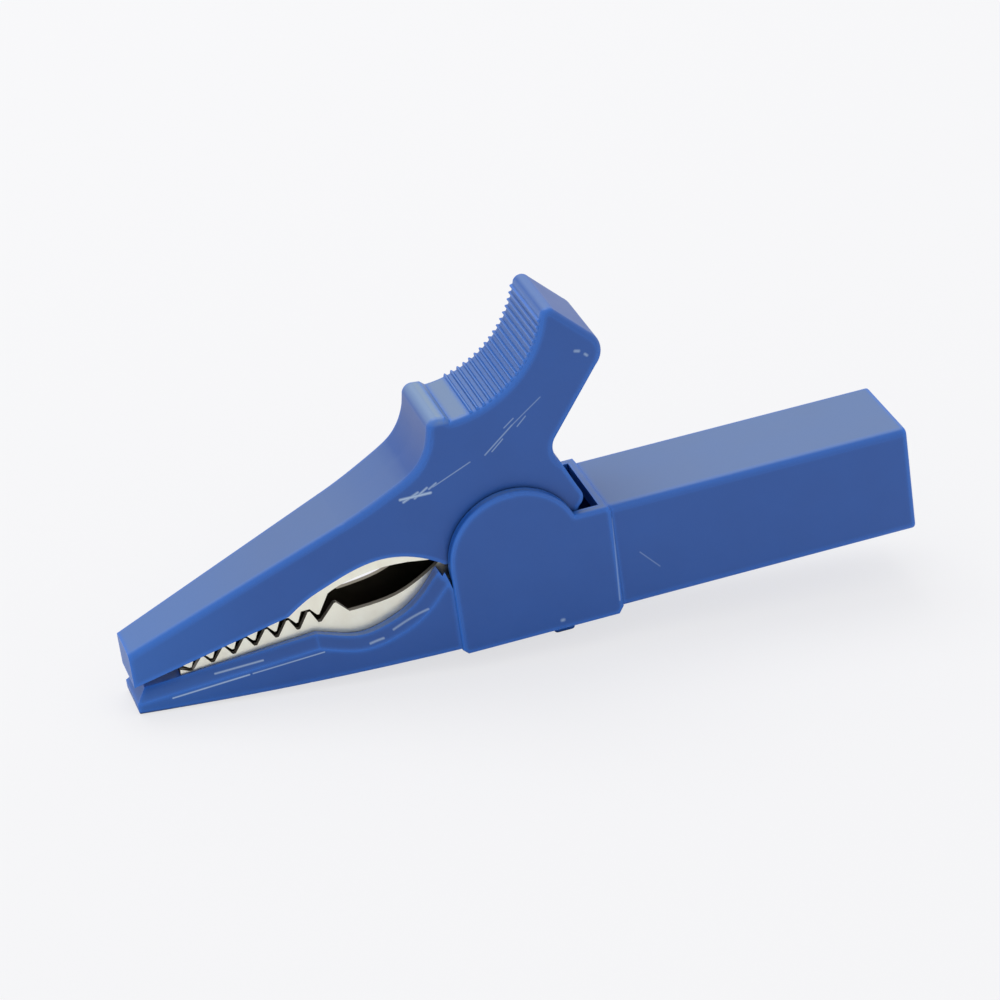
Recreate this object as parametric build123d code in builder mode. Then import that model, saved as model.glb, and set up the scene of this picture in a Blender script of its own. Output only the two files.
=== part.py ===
from build123d import *
import math
import os

os.makedirs("parts", exist_ok=True)

# Crocodile clip with a socket for a 4 mm plug, in millimetres.
# X runs along the barrel towards its mouth, Y across the clip, Z up.
# The origin is on the barrel's axis, where the socket tube begins.

# barrel, and the recess that takes a plug's rigid sleeve
barrel_w = 11.7
barrel_h = 12.0
barrel_edge_r = 0.7
contact_recess = 2.5
sleeve_bore_r = 4.6
partition_t = 2.5
chamber_w = 8.6
chamber_top_wall = 1.4

# socket tube and the rivet at its end wall
plug_r = 2.0
tube_r = 2.8
tube_depth = 22.0
tube_end_wall = 2.0
tube_edge_c = 0.2
rivet_r = 1.2
rivet_head_r = 1.7
rivet_head_t = 0.7

# housing with the two hinge cheeks
pivot_x = -41.1
pivot_z = 3.5
cheek_r = 7.2
housing_w = 12.7
housing_drop = 0.5
housing_step = 0.55
collar_rise = 0.25
collar_t = 1.05
slot_len = 9.5
cheek_edge_r = 0.35
floor_t = 1.15

# hinge
pin_r = 1.25
pin_bite = 0.6
lever_w = 10.3
ear_r = 6.4
metal_ear_r = 3.3
cheek_gap = 0.1
running_gap = 0.05
snug_gap = 0.02
seat_gap = 0.05

# stamped sheet and its teeth
sheet_t = 0.6
tip_metal_w = 4.0
rear_metal_w = 6.8
joggle_len = 3.5
metal_taper_len = 27.0
upper_joggle_at = -52.0
tooth_count = 7
tooth_pitch = 2.33
last_tooth_x = -62.12
last_tooth_z = 0.74
tooth_blunt = 0.11

# plastic jaws
nose_len = 5.1
nose_w = 5.9
jaw_rear_w = 12.2
skin_t = 1.35
rim_chamfer = 1.15
lower_edge_r = 0.45
top_edge_r = 0.6

# thumb lever
pad_r = 11.6
pad_dx = -5.07
pad_dz = 27.84
pad_ribs = 17
pad_rib_h = 0.22
pad_rib_w = 0.5
pad_rib_from = 14.0
pad_rib_to = 74.5
lever_wall = 1.3
lever_hollow_top = 14.5

# foot under the housing, on which the clip stands
foot_l = 2.3
foot_w = 4.4
foot_drop = 2.7
foot_at = 4.9
foot_corner_r = 0.4
foot_edge_r = 0.3

# spring
wire_r = 0.45
coil_r = 2.05
coil_turns = 4
coil_pitch = 0.95
upper_leg_deg = 103.3
upper_leg_len = 13.3
lower_leg_deg = -35.0

# places that follow from the sizes above
mouth_x = contact_recess
lever_half = lever_w / 2
cheek_in = lever_half + cheek_gap
housing_bottom = -barrel_h / 2 - housing_drop
collar_front_x = pivot_x + slot_len
collar_rear_x = collar_front_x + collar_t
housing_front_x = pivot_x - cheek_r
floor_z = -barrel_h / 2 + floor_t
web_z = floor_z + seat_gap
tube_end_x = -tube_depth - tube_end_wall
flange_x = tube_end_x - sheet_t - snug_gap
partition_x = tube_end_x + sheet_t
teeth_run = (tooth_count - 1) * tooth_pitch
metal_front_x = last_tooth_x - teeth_run - 1.1
tip_x = metal_front_x - nose_len
rear_metal_half = rear_metal_w / 2
upper_metal_half = rear_metal_half + sheet_t + running_gap
tip_half = tip_metal_w / 2


def at_pivot(dx, dz):
    return (pivot_x + dx, pivot_z + dz)


def around_pivot(radius, degrees):
    a = math.radians(degrees)
    return (pivot_x + radius * math.cos(a), pivot_z + radius * math.sin(a))


def on_pad(radius, degrees):
    # angle measured from straight below the centre of the thumb pad's curve
    a = math.radians(degrees)
    return at_pivot(pad_dx + radius * math.sin(a), pad_dz - radius * math.cos(a))


def plan_half(x, x0, half0, x1, half1):
    return half0 + (half1 - half0) * (x - x0) / (x1 - x0)


def plan_outline(points):
    # both sides of a plan view from the half widths of one side
    return [(x, y) for x, y in points] + [(x, -y) for x, y in reversed(points)]


def upper_tip(i):
    # crown of tooth i of the upper row, counted from the front
    back = tooth_count - 1 - i
    return (last_tooth_x - back * tooth_pitch, last_tooth_z - 0.38 * back - 0.01 * back ** 2)


def lower_crown(i):
    # crown of the lower tooth behind upper tooth i
    x, z = upper_tip(i)
    if i == tooth_count - 1:
        return (x + 1.92, z + 0.88)
    return (x + 1.4, z + 0.92)


top_slope = 0.3866
tip_rise = 0.27
deep = 40.0

# plan of the lower metal: outside half widths along X
lower_taper_end = metal_front_x + metal_taper_len
lower_plan = [
    (metal_front_x, tip_half),
    (lower_taper_end, rear_metal_half),
    (pivot_x + metal_ear_r, rear_metal_half),
]
# plan of the upper metal: it steps outwards to pass beside the lower ears
joggle_half = plan_half(upper_joggle_at, metal_front_x, tip_half, lower_taper_end, rear_metal_half)
upper_plan = [
    (metal_front_x, tip_half),
    (upper_joggle_at, joggle_half),
    (upper_joggle_at + joggle_len, upper_metal_half),
    (pivot_x + metal_ear_r, upper_metal_half),
]


def widened(points, d):
    return [(x, y + d) for x, y in points]


# underside of the upper cover's skin, where the web of the upper jaw lies
def skin_at(x):
    tip_top = 1.7
    return tip_top + top_slope * (x - tip_x) - skin_t / math.cos(math.atan(top_slope))


skin_line = [
    (metal_front_x, skin_at(metal_front_x)),
    (pivot_x - 16.9, skin_at(pivot_x - 16.9)),
    at_pivot(-11.3, 8.95),
    at_pivot(-8.75, 10.45),
    at_pivot(-6.6, 12.55),
    at_pivot(-6.05, 13.9),
]


def solid_between(plan, side):
    # what a plan view and a side view have in common
    with BuildPart() as common:
        with BuildSketch(Plane.XZ):
            Polygon(*side, align=None)
        extrude(amount=deep, both=True)
        with BuildSketch(Plane.XY):
            Polygon(*plan_outline(plan), align=None)
        extrude(amount=deep, both=True, mode=Mode.INTERSECT)
    return common.part


# lower blue moulding: jaw trough, hinge cheeks, collar, square barrel and foot
trough_rear_x = housing_front_x + 0.8
with BuildPart() as trough:
    with BuildSketch(Plane.XZ):
        with BuildLine():
            rim_rear = at_pivot(-21.7, -4.55)
            rim_front = (tip_x, rim_rear[1] - 0.1 * (rim_rear[0] - tip_x))
            keel_rear = (trough_rear_x, housing_bottom + housing_step)
            rim = Line(rim_front, rim_rear)
            bowl = Spline(
                rim_rear,
                at_pivot(-19.6, -5.25),
                at_pivot(-17.0, -5.8),
                at_pivot(-14.2, -5.18),
                at_pivot(-11.4, -3.75),
                at_pivot(-8.3, -0.45),
                (trough_rear_x, pivot_z + 1.4),
            )
            Line(bowl @ 1, keel_rear)
            keel = ThreePointArc(keel_rear, at_pivot(-22.4, -9.58), (tip_x, pivot_z - 8.9))
            Line(keel @ 1, rim_front)
        make_face()
    extrude(amount=deep, both=True)
    with BuildSketch(Plane.XY):
        Polygon(*plan_outline([(tip_x, nose_w / 2), (trough_rear_x, jaw_rear_w / 2)]), align=None)
    extrude(amount=deep, both=True, mode=Mode.INTERSECT)
    upper_faces = [f for f in trough.faces() if f.normal_at(f.center()).Z > 0.15]
    rims = [e for f in upper_faces for e in f.edges()
            if e.bounding_box().size.X > 0.05 or e.center().X < tip_x + 0.1]
    chamfer([e for e in rims if e.center().X < trough_rear_x - 0.1], rim_chamfer)
    under_faces = [f for f in trough.faces() if f.normal_at(f.center()).Z < -0.9]
    fillet([e for f in under_faces for e in f.edges() if e.center().X < trough_rear_x - 0.1],
           lower_edge_r)
    # small gap between the trough's wall and the cheek
    with BuildSketch(Plane.XZ):
        Polygon((housing_front_x, pivot_z - 2.2), (trough_rear_x + 1, pivot_z - 2.2),
                (trough_rear_x + 1, pivot_z + 6), at_pivot(-9.2, 6), at_pivot(-7.75, -0.1), align=None)
    extrude(amount=deep, both=True, mode=Mode.SUBTRACT)

collar_top = barrel_h / 2 + collar_rise
cheek_rear_x = pivot_x + math.sqrt(cheek_r ** 2 - (collar_top - pivot_z) ** 2)
with BuildPart() as housing:
    with BuildSketch(Plane.XZ):
        with BuildLine():
            bottom_front = (housing_front_x + housing_step, housing_bottom)
            step_top = (housing_front_x, housing_bottom + housing_step)
            bottom_rear = (collar_rear_x - housing_step, housing_bottom)
            Polyline(at_pivot(-cheek_r, 0), step_top, bottom_front, bottom_rear,
                     (collar_rear_x, -barrel_h / 2 + 0.3), (collar_rear_x, collar_top - 0.5),
                     (collar_rear_x - 0.3, collar_top), (cheek_rear_x, collar_top))
            ThreePointArc((cheek_rear_x, collar_top), at_pivot(0, cheek_r), at_pivot(-cheek_r, 0))
        make_face()
    extrude(amount=housing_w / 2, both=True)
    flanks = housing.faces().filter_by(Axis.Y)
    fillet([e for f in flanks for e in f.edges()], cheek_edge_r)

with BuildPart() as barrel:
    with BuildSketch(Plane.YZ.offset(collar_front_x)):
        RectangleRounded(barrel_w, barrel_h, barrel_edge_r)
    extrude(amount=mouth_x - collar_front_x)
    fillet(barrel.faces().sort_by(Axis.X)[-1].edges(), barrel_edge_r / 2)

with BuildPart() as foot:
    with BuildSketch(Plane.XY.offset(housing_bottom + foot_edge_r)):
        with Locations((pivot_x + foot_at, 0)):
            RectangleRounded(foot_l, foot_w, foot_corner_r)
    extrude(amount=-(foot_drop + foot_edge_r))
    fillet(foot.faces().sort_by(Axis.Z)[0].edges(), foot_edge_r)

# the lower metal lies in the trough
web_front_z = pivot_z - 7.8
lower_web = [(metal_front_x, web_front_z), (housing_front_x, web_z), (pivot_x + metal_ear_r, web_z)]
bed = [(x - seat_gap, z - seat_gap) for x, z in lower_web]
trough_space = solid_between(
    widened([(metal_front_x - seat_gap, tip_half)] + lower_plan[1:], seat_gap),
    bed + [(pivot_x + metal_ear_r, pivot_z + 9), (metal_front_x - seat_gap, pivot_z + 9)],
)

with BuildPart() as body_shell:
    add(trough.part)
    add(housing.part)
    add(barrel.part)
    add(foot.part)
    add(trough_space, mode=Mode.SUBTRACT)
    # room between the cheeks for the lever and the ears of the jaws
    room_front_x = pivot_x - ear_r - 0.4
    with BuildSketch(Plane.XZ):
        Polygon((room_front_x, floor_z), (collar_front_x, floor_z), (collar_front_x, pivot_z + deep),
                (housing_front_x - 2, pivot_z + deep), (housing_front_x - 2, pivot_z + 1.6),
                (housing_front_x, pivot_z - 2.2), (room_front_x, pivot_z - 2.2), align=None)
    extrude(amount=cheek_in, both=True, mode=Mode.SUBTRACT)
    # chamber behind the collar for the tail of the lower jaw
    with BuildSketch(Plane.XZ):
        Polygon((collar_front_x - 1, floor_z), (partition_x, floor_z),
                (partition_x, barrel_h / 2 - chamber_top_wall),
                (collar_front_x - 1, barrel_h / 2 - chamber_top_wall), align=None)
    extrude(amount=chamber_w / 2, both=True, mode=Mode.SUBTRACT)
    # recess for the plug's sleeve, and the hole that holds the socket tube
    with BuildSketch(Plane.YZ.offset(mouth_x)):
        Circle(sleeve_bore_r)
    extrude(amount=-(mouth_x - partition_x - partition_t), mode=Mode.SUBTRACT)
    with BuildSketch(Plane.YZ.offset(partition_x - 1)):
        Circle(tube_r + snug_gap)
    extrude(amount=partition_t + 2, mode=Mode.SUBTRACT)
    # blind holes for the ends of the pin
    with BuildSketch(Plane.XZ):
        with Locations((pivot_x, pivot_z)):
            Circle(pin_r + snug_gap)
    extrude(amount=cheek_in + pin_bite, both=True, mode=Mode.SUBTRACT)

# upper blue moulding: jaw cover, lip and thumb lever
metal_top = [(x, z - seat_gap) for x, z in skin_line]
with BuildPart() as lever_shell:
    with BuildSketch(Plane.XZ):
        with BuildLine():
            tip_top = (tip_x, 1.7)
            brow_x = pivot_x - 17.4
            brow = (brow_x, tip_top[1] + top_slope * (brow_x - tip_x))
            lip_front = at_pivot(-7.15, 15.85)
            Line((tip_x, -2.1), tip_top)
            Line(tip_top, brow)
            Spline(brow, at_pivot(-11.2, 10.3), at_pivot(-8.9, 11.85), at_pivot(-7.65, 13.8), lip_front,
                   tangents=[(1, top_slope), (0.15, 1)])
            lip_back = at_pivot(-5.1, 16.75)
            ThreePointArc(lip_front, at_pivot(-6.75, 16.6), at_pivot(-6.0, 16.85))
            Line(at_pivot(-6.0, 16.85), lip_back)
            Line(lip_back, on_pad(pad_r, 2.5))
            ThreePointArc(on_pad(pad_r, 2.5), on_pad(pad_r, 40), on_pad(pad_r, 77.5))
            crown_rear = at_pivot(7.9, 25.45)
            ThreePointArc(on_pad(pad_r, 77.5), at_pivot(6.95, 25.85), crown_rear)
            heel_top = at_pivot(11.2, 22.1)
            heel_low = at_pivot(11.4, 18.3)
            Line(crown_rear, heel_top)
            ThreePointArc(heel_top, at_pivot(12.15, 20.4), heel_low)
            waist_top = at_pivot(6.2, 11.5)
            waist_low = at_pivot(6.1, 8.9)
            Line(heel_low, waist_top)
            ThreePointArc(waist_top, at_pivot(5.7, 10.25), waist_low)
            tail_top = at_pivot(7.8, 5.0)
            tail_low = at_pivot(7.5, 3.2)
            Line(waist_low, tail_top)
            ThreePointArc(tail_top, at_pivot(8.05, 4.15), tail_low)
            Line(tail_low, around_pivot(ear_r, 10))
            ThreePointArc(around_pivot(ear_r, 10), around_pivot(ear_r, -85), around_pivot(ear_r, 176))
            eye_rear = at_pivot(-7.5, 0.45)
            eye_front = at_pivot(-24.3, -1.48)
            Line(around_pivot(ear_r, 176), eye_rear)
            Spline(eye_rear, at_pivot(-9.9, 1.85), at_pivot(-14.5, 2.63), at_pivot(-20.6, 0.7), eye_front,
                   tangents=[(-1, 0.75), (-1, -0.75)])
            Line(eye_front, (tip_x, -2.1))
        make_face()
    extrude(amount=lever_half, both=True)
    with BuildSketch(Plane.XY):
        Polygon(*plan_outline([(tip_x, nose_w / 2), (housing_front_x, lever_half),
                               (pivot_x + deep, lever_half)]), align=None)
    extrude(amount=deep, both=True, mode=Mode.INTERSECT)
    # soft outer edges along the cover and all round the lever
    soft = [
        e for e in lever_shell.edges()
        if e.bounding_box().size.X > 0.05
        and abs(e.center().Y) > 0.3
        and e.center().Z > max(2.0 + tip_rise * (e.center().X - tip_x), -9.0)
        and (e.center().X < pivot_x - 7 or e.center().Z > pivot_z + 3.6)
        and abs(e.center().Y) > 1.0
    ]
    fillet(soft, top_edge_r)
    # hollow for the upper jaw and the spring's leg
    rear_in = [(p[0] - lever_wall, p[1]) for p in (waist_top, waist_low, tail_top)]
    hollow_top = pivot_z + lever_hollow_top
    add(
        solid_between(
            widened([(metal_front_x - seat_gap, tip_half)] + upper_plan[1:3]
                    + [(pivot_x + deep, upper_metal_half)], seat_gap),
            [(metal_front_x - seat_gap, skin_line[0][1])] + skin_line[1:]
            + [(skin_line[-1][0], hollow_top), (rear_in[0][0] - 1.5, hollow_top)] + rear_in
            + [(tail_low[0] - lever_wall, tail_low[1]), (rear_in[2][0] - 1.0, pivot_z - ear_r - 1),
               (metal_front_x - seat_gap, pivot_z - ear_r - 1)],
        ),
        mode=Mode.SUBTRACT,
    )
    with BuildSketch(Plane.XZ):
        with Locations((pivot_x, pivot_z)):
            Circle(pin_r + running_gap)
    extrude(amount=lever_w, both=True, mode=Mode.SUBTRACT)
    # fine cross ribs on the thumb pad
    with BuildSketch(Plane.XZ):
        with Locations(at_pivot(pad_dx, pad_dz)):
            with PolarLocations(pad_r, pad_ribs, pad_rib_from - 90, pad_rib_to - pad_rib_from,
                                endpoint=True):
                Polygon((0.1, -pad_rib_w / 2), (0.1, pad_rib_w / 2), (-pad_rib_h, 0.06),
                        (-pad_rib_h, -0.06), align=None)
    extrude(amount=lever_half - top_edge_r / 2, both=True)

# lower jaw: stamped channel with teeth, ears for the pin, and a tail with a flange
lower_line = []
for i in range(tooth_count):
    tip = upper_tip(i)
    crown = lower_crown(i)
    root_z = tip[1] - 0.4 - 0.085 * i
    lower_line += [(tip[0] - tooth_blunt, root_z), (tip[0] + 2 * tooth_blunt, root_z),
                   (crown[0] - tooth_blunt, crown[1]), (crown[0] + tooth_blunt, crown[1])]
eye_floor = [at_pivot(-17.75, -3.22), at_pivot(-15.8, -3.13), at_pivot(-12.4, -2.55),
             at_pivot(-10.1, -1.5), at_pivot(-7.7, 0.03)]
with BuildPart() as lower_jaw:
    with BuildSketch(Plane.XZ):
        with BuildLine():
            front_top = (metal_front_x, lower_line[0][1] + 0.4)
            Polyline(front_top, *lower_line, eye_floor[0])
            Spline(*eye_floor, tangents=[(1, 0.0), (1, 0.7)])
            shoulder = around_pivot(metal_ear_r, 130)
            Line(eye_floor[-1], shoulder)
            ThreePointArc(shoulder, around_pivot(metal_ear_r, 65), around_pivot(metal_ear_r, 0))
            Polyline(around_pivot(metal_ear_r, 0), lower_web[2], lower_web[1], lower_web[0], front_top)
        make_face()
    extrude(amount=deep, both=True)
    with BuildSketch(Plane.XY):
        Polygon(*plan_outline(lower_plan), align=None)
    extrude(amount=deep, both=True, mode=Mode.INTERSECT)
    inside = widened([(metal_front_x - 1, tip_half)] + lower_plan[:2]
                     + [(pivot_x + deep, rear_metal_half)], -sheet_t)
    add(
        solid_between(inside, [(metal_front_x - 1, lower_web[0][1] + sheet_t)]
                      + [(x, z + sheet_t) for x, z in lower_web]
                      + [(pivot_x + deep, web_z + sheet_t), (pivot_x + deep, deep),
                         (metal_front_x - 1, deep)]),
        mode=Mode.SUBTRACT,
    )
    with BuildSketch(Plane.XZ):
        with Locations((pivot_x, pivot_z)):
            Circle(pin_r + snug_gap / 2)
    extrude(amount=deep, both=True, mode=Mode.SUBTRACT)
    # tail strip, bent up to a flange behind the socket tube
    tail_half = tube_r
    with BuildSketch(Plane.XZ):
        Polygon((pivot_x + metal_ear_r - 1, web_z), (flange_x + sheet_t, web_z),
                (flange_x + sheet_t, tube_r), (flange_x, tube_r), (flange_x, web_z + sheet_t),
                (pivot_x + metal_ear_r - 1, web_z + sheet_t), align=None)
    extrude(amount=tail_half, both=True)
    with BuildSketch(Plane.YZ.offset(flange_x - 1)):
        Circle(rivet_r + snug_gap / 2)
    extrude(amount=2, mode=Mode.SUBTRACT)

# upper jaw: inverted channel with the matching teeth and its own ears
upper_line = []
for i in range(tooth_count):
    tip = upper_tip(i)
    crown = lower_crown(i)
    if i > 0:
        upper_line.append((tip[0] - 0.8, lower_crown(i - 1)[1] + 0.3))
    upper_line += [(tip[0] - tooth_blunt, tip[1]), (tip[0] + tooth_blunt, tip[1])]
    if i < tooth_count - 1:
        upper_line.append((tip[0] + 0.6, crown[1] + 0.25))
eye_roof = [at_pivot(-19.7, -0.62), at_pivot(-17.2, 0.32), at_pivot(-13.2, 0.92),
            at_pivot(-9.4, 0.75), at_pivot(-7.7, 0.68)]
with BuildPart() as upper_jaw:
    with BuildSketch(Plane.XZ):
        with BuildLine():
            front_low = (metal_front_x, upper_line[0][1] + 0.6)
            Polyline(front_low, *upper_line, eye_roof[0])
            Spline(*eye_roof, tangents=[(1, 0.6), (1, -0.05)])
            Line(eye_roof[-1], around_pivot(metal_ear_r, 175))
            ThreePointArc(around_pivot(metal_ear_r, 175), around_pivot(metal_ear_r, -90),
                          around_pivot(metal_ear_r, 5))
            arm_rear = (metal_top[-1][0] + 1.6, metal_top[-1][1])
            Polyline(around_pivot(metal_ear_r, 5), at_pivot(2.7, 4.8), arm_rear,
                     *reversed(metal_top), front_low)
        make_face()
    extrude(amount=deep, both=True)
    with BuildSketch(Plane.XY):
        Polygon(*plan_outline(upper_plan), align=None)
    extrude(amount=deep, both=True, mode=Mode.INTERSECT)
    under = [(x + sheet_t * 0.36, z - sheet_t * 1.0) for x, z in metal_top[:3]] \
        + [(x + sheet_t * 0.8, z - sheet_t * 0.6) for x, z in metal_top[3:4]] \
        + [(x + sheet_t, z) for x, z in metal_top[4:]]
    under[0] = (metal_front_x - 1, under[0][1] - 0.5)
    under[-1] = (under[-1][0] + 0.15, under[-1][1] + 2)
    upper_inside = widened([(metal_front_x - 1, tip_half)] + upper_plan[:3]
                           + [(pivot_x + deep, upper_metal_half)], -sheet_t)
    add(
        solid_between(upper_inside, under + [(pivot_x + deep, pivot_z + 16), (pivot_x + deep, -deep),
                                             (metal_front_x - 1, -deep)]),
        mode=Mode.SUBTRACT,
    )
    with BuildSketch(Plane.XZ):
        with Locations((pivot_x, pivot_z)):
            Circle(pin_r + running_gap)
    extrude(amount=deep, both=True, mode=Mode.SUBTRACT)

with BuildPart() as pivot_pin:
    with BuildSketch(Plane.XZ):
        with Locations((pivot_x, pivot_z)):
            Circle(pin_r)
    extrude(amount=cheek_in + pin_bite - seat_gap, both=True)
    chamfer(pivot_pin.edges().filter_by(GeomType.CIRCLE), snug_gap * 10)

# torsion spring: a coil round the pin and two straight legs
turn = coil_turns + (lower_leg_deg + 270 - (upper_leg_deg + 90)) / 360
coil_half = coil_pitch * turn / 2
coil_start = upper_leg_deg + 90
a = math.radians(coil_start)
coil_plane = Plane(origin=(pivot_x, coil_half, pivot_z), x_dir=(math.cos(a), 0, math.sin(a)),
                   z_dir=(0, -1, 0))
lower_leg_len = (pivot_z - coil_r * math.sin(math.radians(lower_leg_deg + 90)) - web_z - sheet_t
                 - wire_r - snug_gap) / math.sin(math.radians(-lower_leg_deg)) - 0.1
coil = coil_plane * Helix(pitch=coil_pitch, height=coil_pitch * turn, radius=coil_r)
with BuildLine() as wire_line:
    Line((coil @ 0) - (coil % 0) * upper_leg_len, coil @ 0)
    add(coil)
    Line(coil @ 1, (coil @ 1) + (coil % 1) * lower_leg_len)
with BuildPart() as torsion_spring:
    with BuildSketch(Plane(origin=wire_line.line @ 0, z_dir=wire_line.line % 0)):
        Circle(wire_r)
    sweep(path=wire_line.line, is_frenet=True)

# socket tube: open towards the barrel's mouth, its end wall countersunk for the rivet
sink = rivet_head_r - rivet_r
with BuildPart() as socket_tube:
    with BuildSketch(Plane.YZ.offset(tube_end_x)):
        Circle(tube_r)
    extrude(amount=-tube_end_x)
    chamfer(socket_tube.edges().sort_by(Axis.X)[-1], tube_edge_c * 2)
    with BuildSketch(Plane.YZ.offset(-tube_depth)):
        Circle(plug_r)
    extrude(amount=tube_depth, mode=Mode.SUBTRACT)
    mouth_edge = socket_tube.edges().filter_by(GeomType.CIRCLE)
    chamfer([e for e in mouth_edge if e.center().X > -0.1 and e.radius < plug_r + 0.1], tube_edge_c)
    with BuildSketch(Plane.YZ.offset(tube_end_x)):
        Circle(rivet_r + snug_gap / 2)
    extrude(amount=tube_end_wall, mode=Mode.SUBTRACT)
    hole_edges = [e for e in socket_tube.edges().filter_by(GeomType.CIRCLE)
                  if abs(e.center().X + tube_depth) < snug_gap and e.radius < rivet_r + snug_gap]
    chamfer(hole_edges, sink)

# rivet through the tube's end wall and the flange: a sunk head in the tube, a round one behind
with BuildPart() as socket_rivet:
    shank_from = flange_x - snug_gap / 2
    shank_to = -tube_depth - snug_gap
    with BuildSketch(Plane.YZ.offset(shank_from)):
        Circle(rivet_r)
    extrude(amount=shank_to - sink - shank_from)
    with BuildSketch(Plane.YZ.offset(shank_to - sink)):
        Circle(rivet_r)
    with BuildSketch(Plane.YZ.offset(shank_to)):
        Circle(rivet_head_r - snug_gap)
    loft()
    with BuildSketch(Plane.YZ.offset(shank_from)):
        Circle(rivet_head_r + rivet_head_t / 2)
    extrude(amount=-rivet_head_t)
    fillet(socket_rivet.edges().sort_by(Axis.X)[0], rivet_head_t * 0.7)

pieces = {
    "body_shell": body_shell,
    "lever_shell": lever_shell,
    "lower_jaw": lower_jaw,
    "upper_jaw": upper_jaw,
    "pivot_pin": pivot_pin,
    "torsion_spring": torsion_spring,
    "socket_tube": socket_tube,
    "socket_rivet": socket_rivet,
}
for name, piece in pieces.items():
    piece.part.label = name
    export_step(piece.part, "parts/" + name + ".step")
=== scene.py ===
import math

import bpy
from mathutils import Matrix, Vector


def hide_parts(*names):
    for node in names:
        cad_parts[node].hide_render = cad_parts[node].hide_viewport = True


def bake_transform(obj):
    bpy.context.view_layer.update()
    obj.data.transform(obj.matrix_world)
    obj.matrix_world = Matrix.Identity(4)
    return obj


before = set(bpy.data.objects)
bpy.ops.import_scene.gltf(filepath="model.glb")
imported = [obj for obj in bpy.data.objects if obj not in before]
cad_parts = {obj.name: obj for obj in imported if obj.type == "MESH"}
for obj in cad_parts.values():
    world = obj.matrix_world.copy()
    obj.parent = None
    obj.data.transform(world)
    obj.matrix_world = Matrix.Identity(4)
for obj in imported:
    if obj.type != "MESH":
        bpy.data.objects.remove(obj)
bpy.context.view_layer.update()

# Crocodile clip: materials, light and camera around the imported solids. Lengths are metres.
MM = 0.001

# camera at the photograph's place, 0.45 m from the clip
LOOK = Vector((0.19612, 0.86392, -0.46388))
UP = Vector((0.24617, 0.41454, 0.87610))
CAMERA_AT = Vector((-128.45, -386.76, 214.54)) * MM
LENS_MM = 154.69
SENSOR_MM = 36.0
NEAREST_SEEN, FARTHEST_SEEN = 0.01, 20.0

# the table goes through the lower jaw's tip and the foot: its slope and depth seen from the barrel's axis
PITCH = math.radians(4.82)
FLOOR_DROP = 12.28 * MM
FLOOR_REACH = 3.0
# the photograph's backdrop is nearly washed out, so the camera sees only a quarter of the shadow
WASHED_SHARE = 0.75

# light: an even world and one large soft lamp above and behind the clip
WORLD_LIGHT = 0.8
LAMP_AT = Vector((-0.05, 0.30, 0.62))
LAMP_AIM = Vector((-0.04, 0.0, 0.0))
LAMP_SIZE = 0.5
LAMP_POWER = 1.5

# thumb pad and noses, as in the solids
PAD_CENTRE = Vector((-46.17, 0.0, 31.34)) * MM
# the pad's painted sheen comes in between these distances from its centre
PAD_SHEEN_FROM, PAD_SHEEN_TO = 11.8 * MM, 11.4 * MM
NOSE_FROM, NOSE_TO = -66.0 * MM, -82.0 * MM

# pattern scales are per metre: a noise of scale 1000 has patches of about 1 mm
CLOUD_SCALE = 160.0
GRAIN_SCALE = 2600.0
GRAIN_DEPTH = 0.04 * MM
SPOT_SCALE = 700.0
SHEET_LINES = (120.0, 2400.0, 2400.0)
SHEET_LINE_DEPTH = 0.03 * MM
STEEL_LINES = (900.0, 3000.0, 900.0)
BRASS_RINGS = (4000.0, 500.0, 500.0)

# widths of the painted highlight along edges and of the painted shade in seams
EDGE_HIGHLIGHT_WIDTH = 0.8 * MM
SEAM_SHADE_WIDTH = 0.7 * MM

# marks on the near side of the blue mouldings, scratches and mould lines with some painted highlights: start and
# end (X and Z), width, all in millimetres, and strength
MARKS_AND_HIGHLIGHTS = [
    # patch of scratches on the jaw cover, ahead of the cheek
    ((-52.1, 12.4), (-48.9, 12.45), 0.22, 0.75),
    ((-51.8, 12.05), (-50.2, 12.8), 0.2, 0.6),
    ((-50.6, 12.2), (-49.2, 13.1), 0.18, 0.6),
    ((-49.0, 12.9), (-48.2, 13.4), 0.16, 0.5),
    # long scratches up the lever
    ((-48.56, 13.04), (-44.34, 14.77), 0.1, 0.4),
    ((-42.68, 15.12), (-39.42, 17.69), 0.12, 0.42),
    ((-39.42, 17.69), (-36.09, 20.0), 0.1, 0.3),
    ((-41.9, 15.3), (-40.6, 16.4), 0.1, 0.45),
    ((-40.3, 17.6), (-39.2, 18.4), 0.1, 0.4),
    ((-38.9, 17.4), (-37.9, 18.3), 0.1, 0.4),
    # nicks at the lever's heel, and a painted highlight dot low on the housing
    ((-31.78, 24.1), (-31.4, 24.0), 0.25, 0.45),
    ((-30.79, 23.5), (-30.6, 23.3), 0.22, 0.45),
    ((-37.4, -5.36), (-37.25, -5.36), 0.28, 0.5),
    # mould flash lines along the lower jaw, painted pale as the highlight of the rim's edges they lie on
    ((-78.64, -4.2), (-70.5, -3.4), 0.13, 0.75),
    ((-70.1, -3.37), (-62.49, -2.67), 0.11, 0.6),
    ((-73.89, -2.75), (-68.78, -2.34), 0.11, 0.6),
    ((-57.6, -3.05), (-56.14, -2.76), 0.14, 0.5),
    ((-54.97, -2.14), (-51.13, -0.38), 0.13, 0.45),
    # painted highlight along the collar's rear edge, and a scratch on the barrel
    ((-30.54, 4.66), (-30.96, -4.8), 0.14, 0.3),
    ((-27.99, -0.12), (-26.05, -2.36), 0.1, 0.25),
]


def linear(code):
    """An sRGB hex colour as linear red, green, blue and alpha."""
    parts = [int(code[i:i + 2], 16) / 255 for i in (0, 2, 4)]
    return [c / 12.92 if c <= 0.04045 else ((c + 0.055) / 1.055) ** 2.4 for c in parts] + [1.0]


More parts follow.
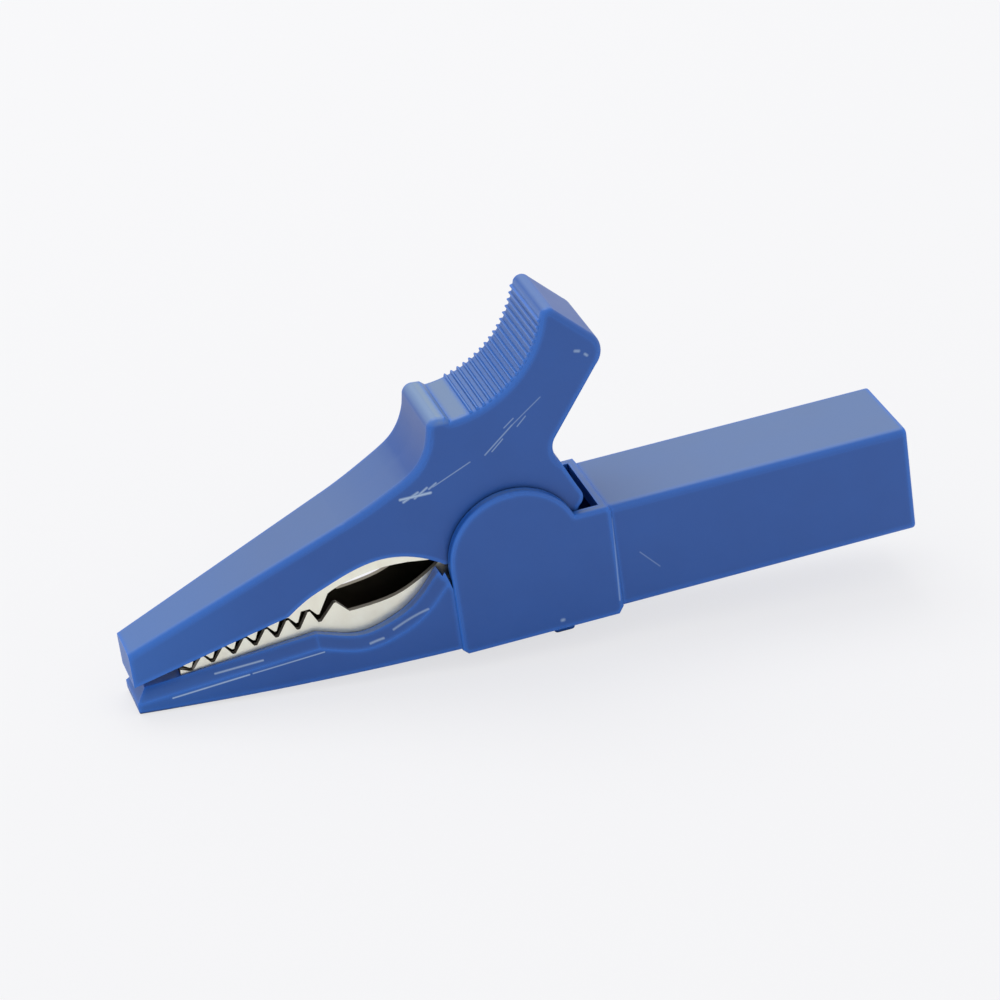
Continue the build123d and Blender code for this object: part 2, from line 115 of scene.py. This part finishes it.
def add(tree, kind, settings=None, **sockets):
    """Adds a node. settings are its own properties, sockets its inputs by name, or by number as i0, i1 and so on:
    a value or another node's output."""
    node = tree.nodes.new(kind)
    for key, value in (settings or {}).items():
        setattr(node, key, value)
    for key, value in sockets.items():
        by_number = key[0] == "i" and key[1:].isdigit()
        socket = node.inputs[int(key[1:]) if by_number else key.replace("_", " ")]
        if isinstance(value, bpy.types.NodeSocket):
            tree.links.new(value, socket)
        else:
            socket.default_value = value
    return node


# settings of nodes that are used more than once
COLOURS = {"data_type": "RGBA"}
TIMES = {"operation": "MULTIPLY"}
LARGER = {"operation": "MAXIMUM"}
DISTANCE = {"operation": "DISTANCE"}
DOT = {"operation": "DOT_PRODUCT"}


def set_camera():
    data = bpy.data.cameras.new("camera")
    data.sensor_width = SENSOR_MM
    data.lens = LENS_MM
    data.clip_start, data.clip_end = NEAREST_SEEN, FARTHEST_SEEN
    camera = bpy.data.objects.new("camera", data)
    bpy.context.scene.collection.objects.link(camera)
    look = LOOK.normalized()
    right = look.cross(UP).normalized()
    up = right.cross(look)
    turn = Matrix((right, up, -look)).transposed().to_4x4()
    camera.matrix_world = Matrix.Translation(CAMERA_AT) @ turn
    bpy.context.scene.camera = camera


def new_material(name):
    material = bpy.data.materials.new(name)
    material.use_nodes = True
    tree = material.node_tree
    tree.nodes.clear()
    return material, tree


def streak(tree, place, start, end, width):
    """One on the line between two places (X and Z in millimetres), fading to nothing at its width."""
    start = Vector((start[0], 0.0, start[1])) * MM
    run = Vector((end[0], 0.0, end[1])) * MM - start
    away = add(tree, "ShaderNodeVectorMath", {"operation": "SUBTRACT"}, i0=place, i1=start).outputs[0]
    along = add(tree, "ShaderNodeVectorMath", DOT, i0=away, i1=run / run.length_squared).outputs["Value"]
    within = add(tree, "ShaderNodeClamp", Value=along).outputs[0]
    nearest = add(tree, "ShaderNodeVectorMath", {"operation": "SCALE"}, i0=run, Scale=within).outputs[0]
    gap = add(tree, "ShaderNodeVectorMath", DISTANCE, i0=away, i1=nearest).outputs["Value"]
    return add(tree, "ShaderNodeMapRange", Value=gap, From_Min=width * MM, From_Max=0.0).outputs["Result"]


def streaks(tree, place, side_view, lines):
    """The strongest of several streaks, on the near side alone."""
    side = add(tree, "ShaderNodeSeparateXYZ", Vector=place).outputs["Y"]
    near = add(tree, "ShaderNodeMath", {"operation": "LESS_THAN"}, i0=side, i1=0.0).outputs[0]
    total = 0.0
    for start, end, width, strength in lines:
        mark = streak(tree, side_view, start, end, width)
        scaled = add(tree, "ShaderNodeMath", TIMES, i0=mark, i1=strength).outputs[0]
        total = add(tree, "ShaderNodeMath", LARGER, i0=scaled, i1=total).outputs[0]
    return add(tree, "ShaderNodeMath", TIMES, i0=total, i1=near).outputs[0]


def painted_seam_shade(tree):
    """Painted shade: one deep in seams, where shade falls, nothing on open faces."""
    openness = add(tree, "ShaderNodeAmbientOcclusion", {"samples": 6}, Distance=SEAM_SHADE_WIDTH).outputs["AO"]
    return add(tree, "ShaderNodeMapRange", Value=openness, From_Min=0.75, From_Max=0.25).outputs["Result"]


def painted_edge_highlight(tree):
    """Painted highlight: one along convex edges, nothing on flat faces."""
    rounded = add(tree, "ShaderNodeBevel", {"samples": 4}, Radius=EDGE_HIGHLIGHT_WIDTH).outputs["Normal"]
    plain = add(tree, "ShaderNodeNewGeometry").outputs["Normal"]
    match = add(tree, "ShaderNodeVectorMath", DOT, i0=rounded, i1=plain).outputs["Value"]
    return add(tree, "ShaderNodeMapRange", Value=match, From_Min=0.999, From_Max=0.96).outputs["Result"]


def moulded_blue():
    """Moulded polyamide, semi-matte: a fine grain breaks up the sheen, and the blue varies in soft clouds."""
    material, tree = new_material("moulded_blue_polyamide")
    source = add(tree, "ShaderNodeTexCoord")
    place = source.outputs["Object"]
    spread = add(tree, "ShaderNodeMapping", Vector=place).outputs[0]
    side_view = add(tree, "ShaderNodeMapping", Vector=place, Scale=(1.0, 0.0, 1.0)).outputs[0]
    cloud = add(tree, "ShaderNodeTexNoise", Vector=spread, Scale=CLOUD_SCALE, Detail=3.0).outputs["Fac"]
    grain = add(tree, "ShaderNodeTexNoise", Vector=spread, Scale=GRAIN_SCALE, Detail=2.0).outputs["Fac"]
    bump = add(tree, "ShaderNodeBump", Strength=0.15, Distance=GRAIN_DEPTH, Height=grain).outputs["Normal"]
    body = add(tree, "ShaderNodeMix", COLOURS, i0=cloud, i6=linear("1B4D99"), i7=linear("2255A4")).outputs[2]

    # painted sheen: faces that point up are painted paler, standing in for the light they catch from above
    up = add(tree, "ShaderNodeSeparateXYZ", Vector=source.outputs["Normal"]).outputs["Z"]
    painted_top_sheen = add(tree, "ShaderNodeMapRange", Value=up, From_Min=0.78, From_Max=0.98, To_Max=0.16).outputs["Result"]
    top_sheened = add(tree, "ShaderNodeMix", COLOURS, i0=painted_top_sheen, i6=body, i7=linear("BED6D2")).outputs[2]

    # painted sheen: the tops of the pad's ribs are painted paler, standing in for the light they catch
    pad = add(tree, "ShaderNodeVectorMath", DISTANCE, i0=side_view, i1=PAD_CENTRE).outputs["Value"]
    pad_sheen = add(tree, "ShaderNodeMapRange", Value=pad, From_Min=PAD_SHEEN_FROM, From_Max=PAD_SHEEN_TO,
                  To_Max=0.24).outputs["Result"]
    pad_sheened = add(tree, "ShaderNodeMix", COLOURS, i0=pad_sheen, i6=top_sheened, i7=linear("BED6D2")).outputs[2]

    # painted glow: the thin noses are painted lighter, standing in for light shining through them; edges get a
    # painted highlight
    along = add(tree, "ShaderNodeSeparateXYZ", Vector=place).outputs["X"]
    nose_glow_mask = add(tree, "ShaderNodeMapRange", Value=along, From_Min=NOSE_FROM, From_Max=NOSE_TO,
                To_Max=0.28).outputs["Result"]
    glowing_noses = add(tree, "ShaderNodeMix", COLOURS, i0=nose_glow_mask, i6=pad_sheened, i7=linear("2F78D2")).outputs[2]
    edge_lit = add(tree, "ShaderNodeMix", COLOURS, i0=painted_edge_highlight(tree), i6=glowing_noses, i7=linear("2A70D0")).outputs[2]

    # seams get painted shade; the near side gets pale scratches, mould lines and painted highlights
    seam_shaded = add(tree, "ShaderNodeMix", COLOURS, i0=painted_seam_shade(tree), i6=edge_lit, i7=linear("0B1B3C")).outputs[2]
    scratch_and_highlight = streaks(tree, place, side_view, MARKS_AND_HIGHLIGHTS)
    colour = add(tree, "ShaderNodeMix", COLOURS, i0=scratch_and_highlight, i6=seam_shaded, i7=linear("C4DCF2")).outputs[2]
    gloss = add(tree, "ShaderNodeMapRange", Value=cloud, To_Min=0.36, To_Max=0.5).outputs["Result"]
    skin = add(tree, "ShaderNodeBsdfPrincipled", Base_Color=colour, Roughness=gloss, Normal=bump)
    add(tree, "ShaderNodeOutputMaterial", Surface=skin.outputs["BSDF"])
    return material


def stamped_nickel():
    """Nickel-plated sheet: warm off-white and satin outside, with the drawing lines of the strip.
    Inner and cut faces are painted darker and brownish; on the inner faces this is painted shade for the dark
    inside of the jaws."""
    material, tree = new_material("nickel_plated_sheet")
    place = add(tree, "ShaderNodeTexCoord").outputs["Object"]
    drawn = add(tree, "ShaderNodeMapping", Vector=place, Scale=SHEET_LINES).outputs[0]
    lines = add(tree, "ShaderNodeTexNoise", Vector=drawn, Scale=1.0, Detail=3.0).outputs["Fac"]
    spots = add(tree, "ShaderNodeTexNoise", Vector=place, Scale=SPOT_SCALE, Detail=4.0).outputs["Fac"]
    side = add(tree, "ShaderNodeSeparateXYZ", Vector=place).outputs["Y"]
    sign = add(tree, "ShaderNodeMath", {"operation": "SIGN"}, i0=side).outputs[0]
    normal = add(tree, "ShaderNodeNewGeometry").outputs["Normal"]
    facing = add(tree, "ShaderNodeSeparateXYZ", Vector=normal).outputs["Y"]
    outward = add(tree, "ShaderNodeMath", TIMES, i0=sign, i1=facing).outputs[0]
    # painted shade: faces that do not face outward, the jaws' inner and cut faces, are painted darker and
    # brownish
    inner_shade = add(tree, "ShaderNodeMapRange", Value=outward, From_Min=0.6, From_Max=0.2).outputs["Result"]
    plate = add(tree, "ShaderNodeMix", COLOURS, i0=spots, i6=linear("F0EBD8"), i7=linear("FFFFF0")).outputs[2]
    colour = add(tree, "ShaderNodeMix", COLOURS, i0=inner_shade, i6=plate, i7=linear("7A7468")).outputs[2]
    gloss = add(tree, "ShaderNodeMapRange", Value=lines, To_Min=0.26, To_Max=0.46).outputs["Result"]
    bump = add(tree, "ShaderNodeBump", Strength=0.2, Distance=SHEET_LINE_DEPTH, Height=lines).outputs["Normal"]
    skin = add(tree, "ShaderNodeBsdfPrincipled", Base_Color=colour, Roughness=gloss, Metallic=1.0, Normal=bump)
    add(tree, "ShaderNodeOutputMaterial", Surface=skin.outputs["BSDF"])
    return material


def turned_metal(name, colour, smoothest, roughest, rings):
    """Drawn or turned metal: fine rings or lines along its length, a little tarnish between them."""
    material, tree = new_material(name)
    place = add(tree, "ShaderNodeTexCoord").outputs["Object"]
    fine = add(tree, "ShaderNodeMapping", Vector=place, Scale=rings).outputs[0]
    lines = add(tree, "ShaderNodeTexNoise", Vector=fine, Scale=1.0, Detail=2.0).outputs["Fac"]
    tarnish = add(tree, "ShaderNodeHueSaturation", Value=0.75, Color=linear(colour)).outputs[0]
    tint = add(tree, "ShaderNodeMix", COLOURS, i0=lines, i6=tarnish, i7=linear(colour)).outputs[2]
    gloss = add(tree, "ShaderNodeMapRange", Value=lines, To_Min=smoothest, To_Max=roughest).outputs["Result"]
    skin = add(tree, "ShaderNodeBsdfPrincipled", Base_Color=tint, Roughness=gloss, Metallic=1.0)
    add(tree, "ShaderNodeOutputMaterial", Surface=skin.outputs["BSDF"])
    return material


def dress(node, material):
    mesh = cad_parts[node].data
    mesh.materials.clear()
    mesh.materials.append(material)


def set_spring():
    """The spring as a piece of its own: a copy of the solid's spring, placed where it stands, while the solid's
    spring is hidden."""
    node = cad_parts["torsion_spring"]
    mesh = node.data.copy()
    mesh.transform(node.matrix_world)
    piece = bpy.data.objects.new("wound_spring", mesh)
    bpy.context.scene.collection.objects.link(piece)
    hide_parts("torsion_spring")
    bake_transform(piece)


def set_floor():
    """Pale table on which the clip stands, seen from above alone."""
    material, tree = new_material("pale_table")
    below = add(tree, "ShaderNodeNewGeometry").outputs["Backfacing"]
    paper = add(tree, "ShaderNodeBsdfDiffuse", Color=linear("F3F3F4")).outputs[0]
    washed = add(tree, "ShaderNodeEmission", Color=linear("F6F6F8")).outputs[0]
    camera = add(tree, "ShaderNodeLightPath").outputs["Is Camera Ray"]
    share = add(tree, "ShaderNodeMath", TIMES, i0=camera, i1=WASHED_SHARE).outputs[0]
    skin = add(tree, "ShaderNodeMixShader", i0=share, i1=paper, i2=washed).outputs[0]
    clear = add(tree, "ShaderNodeBsdfTransparent").outputs[0]
    mix = add(tree, "ShaderNodeMixShader", i0=below, i1=skin, i2=clear).outputs[0]
    add(tree, "ShaderNodeOutputMaterial", Surface=mix)
    up = Vector((math.sin(PITCH), 0.0, math.cos(PITCH)))
    along = Vector((math.cos(PITCH), 0.0, -math.sin(PITCH))) * FLOOR_REACH
    across = Vector((0.0, 1.0, 0.0)) * FLOOR_REACH
    centre = -up * FLOOR_DROP
    corners = [centre + along * a + across * b for a, b in ((-1, -1), (1, -1), (1, 1), (-1, 1))]
    mesh = bpy.data.meshes.new("table")
    mesh.from_pydata([list(c) for c in corners], [], [(0, 1, 2, 3)])
    table = bpy.data.objects.new("table", mesh)
    table.data.materials.append(material)
    bpy.context.scene.collection.objects.link(table)


def set_lamp():
    data = bpy.data.lights.new("overhead", "AREA")
    data.shape = "DISK"
    data.size = LAMP_SIZE
    data.energy = LAMP_POWER
    lamp = bpy.data.objects.new("overhead", data)
    bpy.context.scene.collection.objects.link(lamp)
    lamp.location = LAMP_AT
    lamp.rotation_mode = "QUATERNION"
    lamp.rotation_quaternion = (LAMP_AIM - LAMP_AT).to_track_quat("-Z", "Y")


def set_world():
    """Even white light. The camera and reflections see a plain pale backdrop."""
    world = bpy.data.worlds.new("studio")
    bpy.context.scene.world = world
    world.use_nodes = True
    tree = world.node_tree
    tree.nodes.clear()
    rays = add(tree, "ShaderNodeLightPath").outputs
    seen = add(tree, "ShaderNodeMath", LARGER, i0=rays["Is Camera Ray"], i1=rays["Is Glossy Ray"]).outputs[0]
    seen = add(tree, "ShaderNodeMath", LARGER, i0=seen, i1=rays["Is Transmission Ray"]).outputs[0]
    soft = add(tree, "ShaderNodeBackground", Color=(1, 1, 1, 1), Strength=WORLD_LIGHT).outputs[0]
    white = add(tree, "ShaderNodeBackground", Color=linear("F8F8FA"), Strength=1.0).outputs[0]
    mix = add(tree, "ShaderNodeMixShader", i0=seen, i1=soft, i2=white).outputs[0]
    add(tree, "ShaderNodeOutputWorld", Surface=mix)


set_camera()
set_floor()
set_world()
set_lamp()
bpy.context.scene.view_settings.view_transform = "Standard"

blue = moulded_blue()
nickel = stamped_nickel()
steel = turned_metal("spring_steel", "C2C2C2", 0.22, 0.37, STEEL_LINES)
brass = turned_metal("nickel_plated_brass", "DDD9CC", 0.16, 0.31, BRASS_RINGS)
for nodes, material in (
    (("body_shell", "lever_shell"), blue),
    (("lower_jaw", "upper_jaw"), nickel),
    (("pivot_pin", "torsion_spring"), steel),
    (("socket_tube", "socket_rivet"), brass),
):
    for node in nodes:
        dress(node, material)
set_spring()
